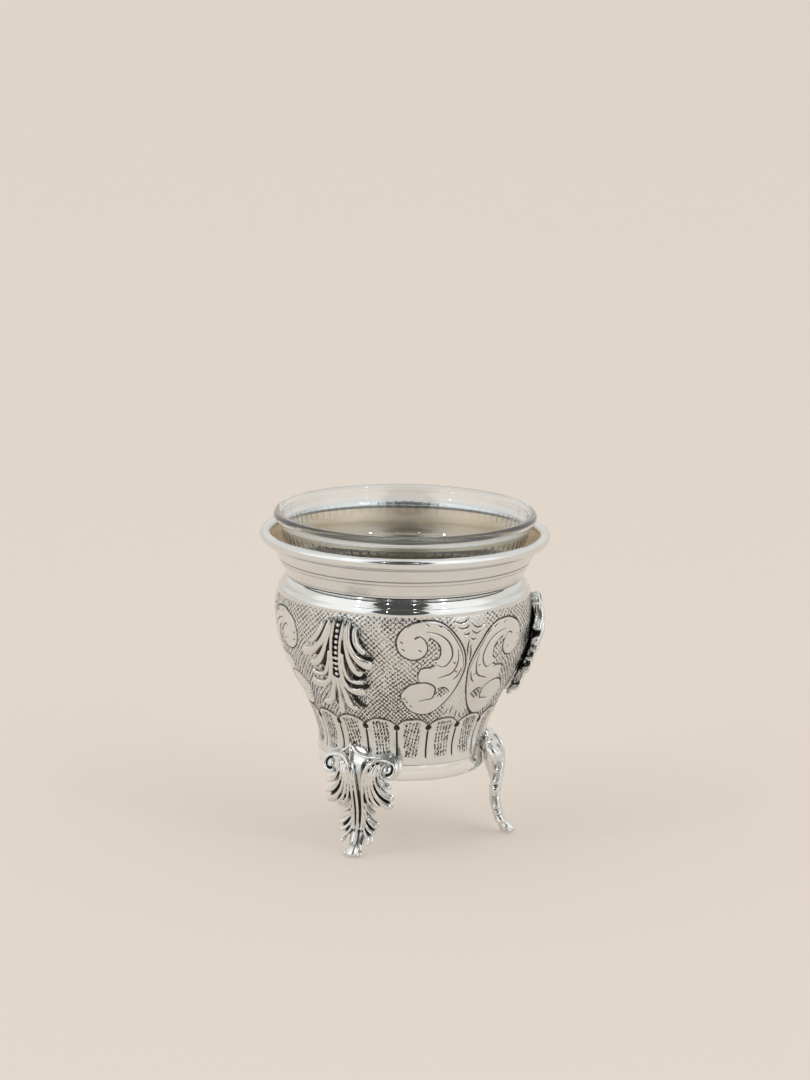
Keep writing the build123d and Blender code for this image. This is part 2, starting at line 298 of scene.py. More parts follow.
def lathe(profile, columns, relief=0.0, closed=True):
    """Turns a profile (radius, height) about the axis. An open one starts and ends on the axis."""
    normal = outward(profile, closed)
    relief = np.broadcast_to(relief, (len(profile), columns))
    radius = profile[:, :1] + normal[:, :1] * relief
    height = profile[:, 1:] + normal[:, 1:] * relief
    angle = full_turn(columns)
    points = np.stack([radius * np.cos(angle), radius * np.sin(angle), height], axis=-1)
    if not closed:
        points = points[1:-1]
    rows = len(points)
    index = np.arange(rows * columns).reshape(rows, columns)
    beside = np.roll(index, -1, axis=1)
    above, above_beside = np.roll(index, -1, axis=0), np.roll(beside, -1, axis=0)
    quads = np.stack([index, beside, above_beside, above], axis=-1)
    if closed:
        return points.reshape(-1, 3), [quads.reshape(-1, 4)]
    start, end = rows * columns, rows * columns + 1
    poles = np.array([[0, 0, profile[0, 1]], [0, 0, profile[-1, 1]]])
    first = np.stack([np.full(columns, start), beside[0], index[0]], axis=-1)
    last = np.stack([np.full(columns, end), index[-1], beside[-1]], axis=-1)
    return np.concatenate([points.reshape(-1, 3), poles]), [quads[:-1].reshape(-1, 4), first, last]


# Engraved body

# Left half of one cartouche, mirrored for the other half: degrees from its middle, and height
SCROLL = ((25.8, 47.6), (24.2, 48.0), (22.2, 47.6), (20.5, 46.6), (19.9, 45.4), (21.0, 44.1), (23.7, 43.2),
          (27.0, 43.0), (30.7, 43.7), (33.3, 45.1), (34.0, 46.8), (32.7, 48.6), (29.1, 50.2), (24.1, 51.2),
          (18.9, 51.3), (13.2, 50.6), (8.4, 48.7), (4.7, 46.4), (2.1, 44.0), (1.0, 41.6), (1.4, 39.3),
          (2.8, 36.9), (5.3, 34.5), (9.3, 32.1), (14.5, 30.5), (19.3, 30.1), (24.2, 30.6), (28.5, 31.9),
          (30.9, 33.5))
LOW_VOLUTE = (SCROLL[-1], (31.7, 34.7), (30.2, 36.0), (26.5, 37.4), (21.5, 37.8), (16.7, 37.3), (14.3, 35.8),
              (14.6, 34.6), (17.1, 33.8), (22.0, 33.5))
LEAF_EDGE = ((22.6, 37.9), (23.6, 38.7), (23.4, 40.3), (20.1, 41.2), (15.4, 41.9))
POCKET = ((15.6, 43.1), (14.0, 44.0), (14.2, 45.4), (16.0, 46.7), (19.4, 47.7))
HOOK = ((13.6, 36.2), (10.5, 36.5), (8.7, 36.2), (6.5, 35.3))
FINE_LINES = (
    ((20.8, 49.0), (16.1, 48.5), (11.3, 47.1), (8.8, 45.2), (8.3, 43.6), (9.5, 42.2), (12.3, 41.3),
     (15.1, 41.9)),
    ((17.5, 43.0),) + POCKET,
    ((5.8, 44.9), (5.1, 42.3), (6.7, 40.2), (10.6, 39.2), (14.0, 38.7)),
    ((2.9, 40.8), (4.1, 39.2), (6.4, 38.2)),
    HOOK,
    LEAF_EDGE,
    ((0.6, 51.4), (2.6, 50.6), (5.2, 50.4), (8.0, 50.9)),
    ((0.6, 49.9), (2.2, 49.3), (4.2, 49.2), (6.0, 49.6)),
    ((0.5, 48.3), (1.8, 47.9), (3.0, 48.1)),
    ((0.4, 46.8), (0.9, 45.0), (0.6, 43.4)),
    ((1.6, 31.8), (2.2, 30.6), (1.9, 29.7)),
    ((4.4, 31.2), (5.4, 30.2), (6.6, 29.8)),
)
SMOOTH_AREA = SCROLL[9:] + LOW_VOLUTE[1:4] + LEAF_EDGE + POCKET + SCROLL[3:9]
INNER_EDGE = ((17.5, 50.5), (12.6, 49.8), (8.7, 48.1), (5.5, 45.9), (3.2, 43.6), (2.2, 41.5), (2.6, 39.4),
              (3.9, 37.3))
DASHES = ((30.8, 45.2), (23.4, 45.0), (31.6, 46.8), (29.8, 34.0), (28.4, 33.2), (26.2, 32.2), (6.8, 42.0),
          (5.4, 40.0), (10.4, 49.0), (14.5, 50.0), (20.3, 50.4))
# Each line with half its width and how much thinner its ends are
CARTOUCHE_LINES = ((SCROLL, 0.24, 0.35), (LOW_VOLUTE, 0.24, 0.5), (INNER_EDGE, 0.13, 0.8)) + tuple(
    (line, 0.2, 0.6) for line in FINE_LINES)
RIGHT_HALF_DROP = 1.2  # the right half of each cartouche is cut a little lower
STIPPLED_AREA = HOOK + ((9.0, 34.6), (12.0, 34.2), (14.3, 35.0))


def flat(points, per_span=10):
    """A curve of degrees and heights, laid flat on the half cartouche."""
    line = smooth(points, per_span * len(points))
    return np.stack([np.radians(line[:, 0]) * FLAT_RADIUS, wall_run(line[:, 1])], axis=1)


def engrave(field, across, line, half_width, taper=0.5):
    """Cuts a line into a field, deepest along the middle and thinner towards its ends."""
    count = len(line) - 1
    for step in range(count):
        (x0, y0), (x1, y1) = line[step], line[step + 1]
        width = half_width * (1 - taper + taper * math.sin(math.pi * (step + 0.5) / count))
        columns = slice(*np.searchsorted(across, (min(x0, x1) - width, max(x0, x1) + width)))
        rows = slice(*np.searchsorted(BODY_RUN, (min(y0, y1) - width, max(y0, y1) + width)))
        x = across[columns][None, :] - x0
        y = BODY_RUN[rows][:, None] - y0
        dx, dy = x1 - x0, y1 - y0
        t = np.clip((x * dx + y * dy) / max(dx * dx + dy * dy, 1e-9), 0, 1)
        gap = np.hypot(x - t * dx, y - t * dy) / width
        field[rows, columns] = np.maximum(field[rows, columns], 1 - np.clip(gap, 0, 1) ** 2)


def inside(across, outline):
    """Which points of the half cartouche lie within an outline."""
    x, y = across[None, :], BODY_RUN[:, None]
    found = np.zeros((BODY_ROWS, len(across)), bool)
    for (x0, y0), (x1, y1) in zip(outline, np.roll(outline, -1, axis=0)):
        crosses = (y0 > y) != (y1 > y)
        found ^= crosses & (x < (x1 - x0) * (y - y0) / (y1 - y0 if y1 != y0 else 1e-9) + x0)
    return found


def ripple(turn, up, seed, count, round_waves, up_waves):
    """Seeded smooth noise round the body, about -1 to 1, that closes on itself."""
    rng = np.random.default_rng(seed)
    total = np.zeros((len(up), len(turn)))
    for _ in range(count):
        waves = rng.integers(round_waves // 4, round_waves)
        climb = rng.uniform(-up_waves, up_waves)
        total += np.cos(waves * turn[None, :] + climb * up[:, None] + rng.uniform(0, 2 * math.pi))
    return total / math.sqrt(count / 2)


def hatching(turn, up):
    """Two crossing families of short graver strokes that wander a little, as depth from 0 to 1.2."""
    slant = HATCH_PITCH * math.sqrt(2)
    strokes = round(2 * math.pi * FLAT_RADIUS / slant)
    families = []
    for side in (1, -1):
        wander = HATCH_WANDER * ripple(turn, up, 10 + side, 14, 40, 0.9)
        wander = wander + HATCH_SWAY * ripple(turn, up, 20 + side, 6, 16, 0.3)
        phase = strokes * turn[None, :] + side * up[:, None] * 2 * math.pi / slant
        groove = np.clip((np.cos(phase + wander) - 0.3) / 0.5, 0, 1)
        broken = ease(-1.0, 0.0, ripple(turn, up, 30 + side, 24, 320, 5.5))
        patch = 0.7 + 0.3 * ease(-1.0, 0.0, ripple(turn, up, 40 + side, 8, 30, 0.9))
        families.append(groove * broken * patch)
    weight = 0.9 - 0.35 * ease(*HATCH_LIGHTER_Z, BODY_LINE[:, 1])[:, None]
    return np.clip(weight * np.maximum(*families) + 0.9 * families[0] * families[1], 0, 1.2)


def tongue_field(turn):
    """Tongues round the foot of the body: their crowns, their cut lines, and where they lie."""
    radius, z = BODY_LINE[:, :1], BODY_LINE[:, 1:]
    half = math.pi / TONGUES
    from_first = turn - math.radians(TONGUE_TURN)
    number = np.round(from_first / (2 * half)) % TONGUES
    angle = ((from_first - number * 2 * half + math.pi) % (2 * math.pi) - math.pi)[None, :]
    share = np.abs(angle) / half
    rise = ARCH_TOP_Z - ARCH_SPRING_Z
    arch = ARCH_SPRING_Z + rise * (1 - share ** ARCH_POWER)
    slope = ARCH_POWER * rise * share ** (ARCH_POWER - 1) / (half * radius)
    below = ease(-0.12, 0.12, arch - z)
    across = angle * radius
    edge = (1 - share) * half * radius

    cuts = 0.6 * dome((z - arch) / np.sqrt(1 + slope ** 2) / ARCH_HALF_WIDTH)
    divider = dome(edge / DIVIDER_HALF_WIDTH) * ease(TONGUE_FOOT_Z, TONGUE_FOOT_Z + 1.2, z)
    cuts = np.maximum(cuts, divider * ease(-0.4, 0.6, DIVIDER_TOP_Z - z))
    from_dot = np.hypot(edge, z - ARCH_SPRING_Z + DOT_DROP)
    cuts = np.maximum(cuts, 1.25 * (1 - ease(*DOT_SIZE, from_dot)))

    reach = PANEL_HALF_WIDTH + PANEL_FLARE * (z - PANEL_FOOT_Z[1])
    panel = 1 - ease(-0.15, 0.2, np.abs(across + 0.15 * np.sin(number * 2.4)[None, :]) - reach)
    panel = panel * ease(*PANEL_FOOT_Z, z) * ease(*PANEL_TOP_GAP, arch - z)
    lean = 0.35 * np.sin(number * 1.9)[None, :]
    shake = ripple(turn, BODY_RUN, 51, 20, 280, 4.5)
    rows = np.cos(2 * math.pi * (z + lean * across) / DASH_ROW_PITCH + 1.3 * shake)
    column_phase = 2 * math.pi * (across - 0.5 * lean * z) / DASH_COLUMN_PITCH
    columns = np.cos(column_phase + number[None, :] + 0.7 * shake)
    dashes = np.clip(rows * 1.1 + 0.9, 0, 1) * np.clip(columns * 1.3 + 0.35, 0, 1)
    cuts = np.maximum(cuts, panel * np.maximum(dashes, 0.12))
    crown = TONGUE_CROWN * np.cos(share * math.pi / 2) * ease(BASE_TOP_Z, CROWN_FULL_Z, z) * below
    return crown, np.clip(cuts, 0, 1.2), below


def half_cartouche(across, drop):
    """Engraved lines and smooth ground of half a cartouche, cut lower by drop."""
    lines = np.zeros((BODY_ROWS, len(across)))
    for points, half_width, taper in CARTOUCHE_LINES:
        engrave(lines, across, flat(lowered(points, drop)), half_width, taper)
    for degrees, z in DASHES:
        middle = np.array((np.radians(degrees) * FLAT_RADIUS, wall_run(z - drop)))
        engrave(lines, across, np.array([middle - DASH_REACH, middle + DASH_REACH]), DASH_HALF_WIDTH, 0.0)
    smooth_ground = inside(across, flat(lowered(SMOOTH_AREA, drop)))
    return lines, 1.0 * (smooth_ground & ~inside(across, flat(lowered(STIPPLED_AREA, drop))))


def leaf_shade(across):
    """Painted shade on the wall under the lobes of half a leaf mount."""
    shade = np.zeros((BODY_ROWS, len(across)))
    for path, _, _ in LEAF_STRANDS:
        under = []
        for out, depth in path[1:]:
            z = LEAF_TOP_Z - depth
            under.append((PITCH / 2 - math.degrees(SHADE_REACH * out / wall_radius(z)), z))
        engrave(shade, across, flat(under), SHADE_HALF_WIDTH, 0.2)
    return shade


def lowered(points, drop):
    return [(degrees, z - drop) for degrees, z in points]


def engraved_body(material):
    turn = full_turn(BODY_COLUMNS)
    off_middle = np.abs(np.degrees(turn) % PITCH - PITCH / 2)
    on_right = np.degrees(turn) % PITCH > PITCH / 2
    half_steps = BODY_COLUMNS // (2 * FEET)
    across = np.radians(np.linspace(0, PITCH / 2, half_steps + 1)) * FLAT_RADIUS
    column = np.round(off_middle / (PITCH / 2) * half_steps).astype(int)

    halves = zip(half_cartouche(across, 0.0), half_cartouche(across, RIGHT_HALF_DROP))
    lines, plain = [np.where(on_right, right[:, column], left[:, column]) for left, right in halves]
    crown, cuts, in_tongue = tongue_field(turn)
    above_tongues = 1 - in_tongue
    lines = lines * above_tongues
    shade = leaf_shade(across)[:, column] * above_tongues
    z = BODY_LINE[:, 1:]
    ground = (1 - plain) * above_tongues * ease(-0.3, 0.3, HATCH_TOP_Z - z)
    ground = ground * (MIDDLE_HATCH + (1 - MIDDLE_HATCH) * ease(*MIDDLE_SPAN, off_middle)[None, :])
    hatch = hatching(turn, BODY_RUN) * ground
    # patina in the cuts, lines and hatching, with the painted shade under the leaves
    patina_and_shade = np.maximum.reduce([hatch, cuts, LINE_DARKNESS * lines, SHADE_DARKNESS * shade])

    above_hatch = np.clip(z - HATCH_TOP_Z + 0.1, 0, 2 * SHOULDER_ROLL)
    rolls = SHOULDER_ROLL_HEIGHT * np.abs(np.sin(math.pi * above_hatch / SHOULDER_ROLL))
    dents = DENT_DEPTH * ripple(turn, BODY_RUN, 61, 14, 44, 1.2)
    dents = dents * ease(0, 3, BODY_RUN)[:, None] * ease(0, 2, HATCH_TOP_Z - z)
    relief = crown + rolls + dents - HATCH_DEPTH * hatch - GROUND_DEPTH * ground
    relief = relief - LINE_DEPTH * np.maximum(lines, cuts)

    lining = even(smooth(BODY_STATIONS, 400), LINING_ROWS)[::-1] - (WALL, 0)
    profile = np.concatenate([BODY_LINE, lining])
    full = np.zeros((len(profile), BODY_COLUMNS))
    full[1:BODY_ROWS - 1] = relief[1:-1]
    mesh = make_mesh("engraved_body", *lathe(profile, BODY_COLUMNS, full))
    dark, polish, dull_and_reflection = np.zeros((3,) + full.shape)
    dark[:BODY_ROWS] = patina_and_shade
    polish[:BODY_ROWS] = ease(0, 0.3, z - HATCH_TOP_Z)
    dull_and_reflection[BODY_ROWS:] = LINING_DULL_AND_REFLECTION
    set_skin(mesh, dark)
    set_skin(mesh, polish, "polish")
    set_skin(mesh, dull_and_reflection, "dull_and_reflection")
    add_piece("engraved_body", mesh, material, "holder", "engraved_silver", "body_shell")


# Spun and drawn pieces

def spun_collar(material):
    outside = even(smooth(COLLAR_LINE, 300), COLLAR_ROWS)
    z = outside[:, 1]
    cut = np.zeros(COLLAR_ROWS)
    for height, depth in COLLAR_SCRIBES:
        cut = np.maximum(cut, depth * dome((z - height) / SCRIBE_HALF_WIDTH))
    rng = np.random.default_rng(5)
    rough = rng.normal(0, 1, COLLAR_ROWS + SPIN_LINE_ROWS - 1)
    spin_lines = np.convolve(rough, np.ones(SPIN_LINE_ROWS) / SPIN_LINE_ROWS, "valid") * SPIN_LINE
    inner = outside[z > COLLAR_SEAT_Z][::-1][::6] - (WALL, 0)
    seat = np.array([(inner[-1, 0], COLLAR_SEAT_Z), (BORE + BORE_BREAK, COLLAR_SEAT_Z),
                     (BORE, COLLAR_SEAT_Z - BORE_BREAK), (BORE, NECK_Z)])
    profile = np.concatenate([outside, inner, seat])
    relief = np.zeros((len(profile), 1))
    relief[SEAM_ROWS:COLLAR_ROWS - SEAM_ROWS, 0] = (spin_lines - cut)[SEAM_ROWS:-SEAM_ROWS]
    mesh = make_mesh("spun_collar", *lathe(profile, LATHE_COLUMNS, relief))
    dark, dull_and_reflection = np.zeros((2, len(profile), LATHE_COLUMNS))
    dark[:COLLAR_ROWS] = (cut / SCRIBE_BLACK)[:, None]
    dark[:SEAM_ROWS] = SEAM_DARKNESS
    inside_z = profile[COLLAR_ROWS:, 1:]
    flare = FLARE_DULL_AND_REFLECTION + (1 - FLARE_DULL_AND_REFLECTION) * ease(*FLARE_WHOLLY_DULL_AND_REFLECTED_Z, inside_z)
    dull_and_reflection[COLLAR_ROWS:] = np.where(inside_z > COLLAR_SEAT_Z - BORE_BREAK / 2, flare, LINING_DULL_AND_REFLECTION)
    set_skin(mesh, dark)
    set_skin(mesh, dull_and_reflection, "dull_and_reflection")
    add_piece("spun_collar", mesh, material, "holder", "satin_silver", "neck_collar")


def lip_wire(material):
    turn = full_turn(LIP_ROWS)
    profile = np.stack([LIP_MID + LIP_WIRE / 2 * np.cos(turn), LIP_Z + LIP_WIRE / 2 * np.sin(turn)], axis=1)
    dents = LIP_DENT * ripple(full_turn(LATHE_COLUMNS), turn, 3, 10, 40, 2.0)
    mesh = make_mesh("lip_wire", *lathe(profile, LATHE_COLUMNS, dents))
    # painted shade: the lower side of the wire is darkened, as a shadow line under it
    under = ease(0.75, 1.0, -np.sin(turn))[:, None] * np.ones(LATHE_COLUMNS)
    set_skin(mesh, 0.7 * under)
    add_piece("lip_wire", mesh, material, "holder", "polished_silver", "rim_wire")


def base_band(material):
    quarter = np.radians(np.linspace(-90, 0, BASE_CORNER_ROWS))
    corner = np.stack([BASE_RADIUS - BASE_ROUND + BASE_ROUND * np.cos(quarter),
                       BASE_LOW_Z + BASE_ROUND + BASE_ROUND * np.sin(quarter)], axis=1)
    side = np.linspace((BASE_RADIUS, BASE_LOW_Z + BASE_ROUND + 0.1), (BASE_RADIUS, BASE_TOP_Z - 0.15),
                       BASE_SIDE_ROWS)
    shelf = BASE_LOW_Z + PLATE_THICKNESS
    rest = [(BASE_RADIUS - 0.12, BASE_TOP_Z), (BASE_INNER + PLATE_LEDGE, BASE_TOP_Z),
            (BASE_INNER + PLATE_LEDGE, shelf), (BASE_INNER, shelf), (BASE_INNER, BASE_LOW_Z)]
    profile = np.concatenate([corner, side, rest])
    relief, dark = np.zeros((2, len(profile), LATHE_COLUMNS))
    seam = BASE_CORNER_ROWS + BASE_SIDE_ROWS - 1
    face_rows = np.arange(float(seam - 2))
    bulge = BASE_BULGE * np.sin(math.pi * face_rows / face_rows[-1])[:, None]
    relief[2:seam] = bulge + BASE_DENT * ripple(full_turn(LATHE_COLUMNS), face_rows, 8, 8, 24, 0.2)
    mesh = make_mesh("base_band", *lathe(profile, LATHE_COLUMNS, relief))
    dark[seam:seam + 2] = BASE_SEAM_DARKNESS
    set_skin(mesh, dark)
    add_piece("base_band", mesh, material, "holder", "polished_silver", "base_ring")


def base_disc(material):
    edge = BASE_INNER + PLATE_LEDGE - PLATE_CLEARANCE
    low = BASE_LOW_Z + PLATE_THICKNESS
    high = low + PLATE_THICKNESS
    spread = np.linspace(0, edge - PLATE_BREAK, PLATE_ROWS)
    spun = PLATE_RIPPLE * np.sin(spread * 9) * ease(0.5, 2, spread)
    under = np.stack([spread, low + np.abs(spun)], axis=1)
    rim = [(edge, low + PLATE_BREAK), (edge, high - PLATE_BREAK)]
    over = np.stack([spread[::-1], np.full(PLATE_ROWS, high)], axis=1)
    profile = np.concatenate([under, rim, over])
    mesh = make_mesh("base_disc", *lathe(profile, LATHE_COLUMNS, closed=False))
    set_skin(mesh, np.zeros(len(mesh.vertices)))
    add_piece("base_disc", mesh, material, "holder", "satin_silver", "base_plate")


def bowl(radius, depth):
    turn = np.linspace(0, math.pi / 2, BOWL_ROWS)
    return np.stack([radius * np.sin(turn), LINER_BOWL_Z - depth * np.cos(turn)], axis=1)


def liner_glass(material):
    outside = bowl(LINER_NECK, LINER_BOWL_DEPTH)
    neck = np.linspace((LINER_NECK, LINER_BOWL_Z + 0.5), (LINER_NECK, COLLAR_SEAT_Z - LINER_BREAK), 12)
    shoulder = [(LINER_SHOULDER - LINER_BREAK, COLLAR_SEAT_Z), (LINER_SHOULDER, COLLAR_SEAT_Z + LINER_BREAK)]
    fluted = smooth(FLUTED_WALL, 60)
    rolled = np.radians(np.linspace(*RIM_TURN, 40))
    rim = np.stack([RIM_MID + RIM_ROUND * np.cos(rolled), RIM_Z + RIM_ROUND * np.sin(rolled)], axis=1)
    well = bowl(LINER_WELL, LINER_BOWL_DEPTH - GLASS_BOTTOM)[::-1][1:]
    profile = np.concatenate([outside, neck, shoulder, fluted, rim, smooth(INNER_WALL, 70), well])

    columns = GLASS_FLUTES * FLUTE_COLUMNS
    start = len(outside) + len(neck) + len(shoulder)
    on_flutes = np.zeros((len(profile), 1))
    on_flutes[start:start + len(fluted)] = 1
    z = profile[:, 1:]
    on_flutes = on_flutes * ease(*FLUTE_FOOT_Z, z) * (1 - ease(*FLUTE_TOP_Z, z))
    ridges = (0.5 + 0.5 * np.cos(GLASS_FLUTES * full_turn(columns))) ** FLUTE_SHARPNESS
    flutes = GLASS_FLUTE_DEPTH * ridges * on_flutes
    mesh = make_mesh("liner_glass", *lathe(profile, columns, flutes, closed=False))
    add_piece("liner_glass", mesh, material, "liner", "clear_glass", "glass_liner")


# Cast pieces

def tube(points):
    """Rings of points as one list, with the faces between them and a cap at each end."""
    rings, sides = points.shape[:2]
    index = np.arange(rings * sides).reshape(rings, sides)
    beside = np.roll(index, -1, axis=1)
    quads = np.stack([index[:-1], beside[:-1], beside[1:], index[1:]], axis=-1).reshape(-1, 4)
    caps = np.stack([index[0][::-1], index[-1]])
    return points.reshape(-1, 3), quads, caps


def strand(path, widths, outs, top=0.5, depth=0.9, steps=44):
    """A tapering strand with round ends, in distance across, height and distance out."""
    line = even(smooth(path, 240) if len(path) > 2 else np.array(path, float), steps)
    share = np.linspace(0, 1, steps)
    width = np.interp(share, np.linspace(0, 1, len(widths)), widths)
    out = np.interp(share, np.linspace(0, 1, len(outs)), outs)
    along = run(line)
    room = np.minimum(along, along[-1] - along)
    end = np.sqrt(np.clip(1 - (1 - np.clip(room / (width / 2), 0, 1)) ** 2, 0.03, 1))
    ahead = np.gradient(line, axis=0)
    ahead /= np.linalg.norm(ahead, axis=1)[:, None]
    turn = full_turn(CAST_SIDES)
    reach = (width / 2 * end)[:, None] * np.cos(turn)
    rise = np.where(np.sin(turn) > 0, top, depth) * np.sin(turn) * end[:, None]
    across = line[:, :1] - ahead[:, 1:] * reach
    height = line[:, 1:] + ahead[:, :1] * reach
    return tube(np.stack([across, height, out[:, None] + rise], axis=-1))


def ball(across, height, out, size):
    """A round bead, slightly squared."""
    tilt = np.linspace(0.05, math.pi - 0.05, BALL_RINGS)[:, None]
    turn = full_turn(CAST_SIDES)[None, :]
    level = np.cos(tilt) + 0 * turn
    unit = np.stack([np.sin(tilt) * np.cos(turn), np.sin(tilt) * np.sin(turn), level], axis=-1)
    unit = np.sign(unit) * np.abs(unit) ** 0.85
    points = unit * size + (across, height, out)
    index = np.arange(BALL_RINGS * CAST_SIDES).reshape(BALL_RINGS, CAST_SIDES)
    beside = np.roll(index, -1, axis=1)
    quads = np.stack([index[:-1], index[1:], beside[1:], beside[:-1]], axis=-1).reshape(-1, 4)
    caps = np.stack([index[0], index[-1][::-1]])
    return points.reshape(-1, 3), quads, caps


def mirrored(part):
    points, quads, caps = part
    return points * (-1, 1, 1), quads[:, ::-1], caps[:, ::-1]


def read(items, name, width, kind=float):
    """A property of all points or edges of a mesh, one row for each."""
    values = np.empty(len(items) * width, kind)
    items.foreach_get(name, values)
    return values.reshape(-1, width)


def fused(name, parts, place, voxel):
    """One closed mesh round all the parts, with a millimetre as its unit."""
    points, quads, caps = [], [], []
    count = 0
    for part_points, part_quads, part_caps in parts:
        points.append(place(*part_points.T))
        quads.append(part_quads + count)
        caps.append(part_caps + count)
        count += len(part_points)
    faces = [np.concatenate(quads), np.concatenate(caps)]
    rough = make_mesh(name + "_rough", np.concatenate(points) / MM, faces)
    holder = bpy.data.objects.new(name + "_rough", rough)
    bpy.context.scene.collection.objects.link(holder)
    remesh = holder.modifiers.new("fuse", "REMESH")
    remesh.mode = "VOXEL"
    remesh.voxel_size = voxel
    graph = bpy.context.evaluated_depsgraph_get()
    mesh = bpy.data.meshes.new_from_object(holder.evaluated_get(graph))
    mesh.name = name
    bpy.data.objects.remove(holder)
    bpy.data.meshes.remove(rough)
    return mesh


def cast(name, parts, place, height_off, dark_band, voxel):
    """Fuses strands into one casting, smooths its skin, darkens its hollows with patina and its deep parts
    with painted shade, and brings it to metres.
    """
    mesh = fused(name, parts, place, voxel)
    edges = read(mesh.edges, "vertices", 2, np.int32)
    skin = relaxed(read(mesh.vertices, "co", 3), edges, 3)
    mesh.vertices.foreach_set("co", skin.ravel())
    mesh.update()
    normals = read(mesh.vertices, "normal", 3)
    hollow = ((relaxed(skin, edges, 30) - skin) * normals).sum(axis=1)
    facing = (normals[:, :2] * skin[:, :2]).sum(axis=1) / np.hypot(skin[:, 0], skin[:, 1])
    off = height_off(*skin.T)
    # painted shade in the deep parts that face outwards, with patina in the hollows
    deep_shade = ease(*dark_band[:2], off) * (1 - ease(*dark_band[2:], off)) * ease(*DARK_FACING, facing)
    set_skin(mesh, np.maximum(ease(*HOLLOW_BAND, hollow), deep_shade))
    skin[:, 2] = np.maximum(skin[:, 2], 0)
    mesh.vertices.foreach_set("co", (skin * MM).ravel())
    mesh.polygons.foreach_set("use_smooth", np.ones(len(mesh.polygons), bool))
    mesh.update()
    return mesh


def relaxed(points, edges, rounds):
    """Points moved towards the mean of their neighbours, a number of times."""
    ends = np.concatenate([edges[:, 0], edges[:, 1]])
    others = np.concatenate([edges[:, 1], edges[:, 0]])
    degree = np.bincount(ends, minlength=len(points))[:, None]
    for _ in range(rounds):
        total = np.stack([np.bincount(ends, points[others, axis], len(points)) for axis in range(3)], axis=1)
        points = points + 0.5 * (total / degree - points)
    return points


# Right half of a leaf mount. Each strand has its path, as distance from the midrib and depth below the top,
# its widths, and its heights off the wall.
LEAF_STRANDS = (
    (((1.05, 0.2), (1.0, 4.0), (0.95, 8.0), (0.95, 11.5), (1.25, 13.8)),
     (0.6, 0.7, 0.6), (1.2, 2.0, 2.0, 1.9)),
    (((1.9, 0.5), (2.3, 2.8), (3.0, 5.4), (4.3, 7.4), (6.0, 8.7), (7.8, 8.9)),
     (0.8, 1.0, 1.3, 2.4), (1.2, 2.1, 2.5, 2.4)),
    (((3.6, 1.4), (3.6, 2.7), (4.0, 4.1), (4.8, 5.5), (6.2, 6.7)),
     (0.8, 1.1, 1.2), (1.3, 2.1, 2.0)),
    (((1.5, 1.2), (1.95, 4.6), (2.55, 7.2), (3.5, 9.6), (4.6, 10.9), (5.7, 11.1)),
     (0.7, 0.9, 1.7), (1.2, 1.9, 2.1, 2.4)),
    (((1.55, 7.4), (1.6, 9.4), (2.0, 11.4), (2.8, 12.9), (4.1, 13.3), (5.6, 12.8)),
     (0.6, 0.8, 1.2), (1.8, 2.3)),
    (((1.05, 9.4), (1.2, 11.8), (1.6, 13.8), (2.5, 15.0), (4.1, 15.5), (5.8, 15.0)),
     (0.7, 1.0, 2.1), (1.9, 2.2, 2.6)),
    (((0.6, 12.8), (0.95, 15.0), (1.5, 17.4), (2.3, 19.3), (3.7, 19.8)),
     (0.8, 1.0, 1.6), (1.7, 2.1, 2.5)),
)
LEAF_TAIL = (((0.0, 13.2), (-0.15, 17.4), (-0.4, 21.9)), (1.2, 1.1, 1.3), (1.6, 1.5, 1.9))
BEAD_BED = (((0, 0.1), (0, 13.6)), (1.5, 1.3), (0.8, 0.95, 0.95))
LEAF_KEEL = (((0, 0.6), (0, 21.0)), (2.0, 1.8, 1.0), (0.6, 0.6))
LEAF_WEB_WIDTH = 1.9  # the web under a strand is this much wider than the strand
LEAF_WEB_RISE = 0.5  # and its middle lies this far off the leaf's back


def on_wall(across, depth, out):
    z = LEAF_TOP_Z - depth
    radius = wall_radius(z)
    angle = across / (radius + LEAF_BACK)
    return np.stack([(radius + out) * np.cos(angle), (radius + out) * np.sin(angle), z], axis=1)


def off_wall(x, y, z):
    return np.hypot(x, y) - wall_radius(z)


def leaf_mesh():
    parts = []
    for path, widths, outs in LEAF_STRANDS:
        ridge = strand(path, widths, outs, top=0.6, depth=1.5)
        web_widths = [LEAF_WEB_WIDTH * width for width in widths[:2]]
        web = strand(path[:-2], web_widths, [LEAF_BACK + LEAF_WEB_RISE] * 2, top=0.3, depth=0.45)
        parts += [ridge, mirrored(ridge), web, mirrored(web)]
    parts.append(strand(*LEAF_TAIL))
    parts.append(strand(*BEAD_BED, top=0.3, depth=0.8))
    parts.append(strand(*LEAF_KEEL, top=0.6, depth=0.8))
    for number in range(BEADS):
        depth = BEAD_PITCH * (number + 0.55)
        parts.append(ball(0, depth, BEAD_OUT - BEAD_SINK * math.exp(-depth / 2), BEAD_SIZE))
    return cast("leaf_mount", parts, on_wall, off_wall, LEAF_DARK_BAND, LEAF_VOXEL)


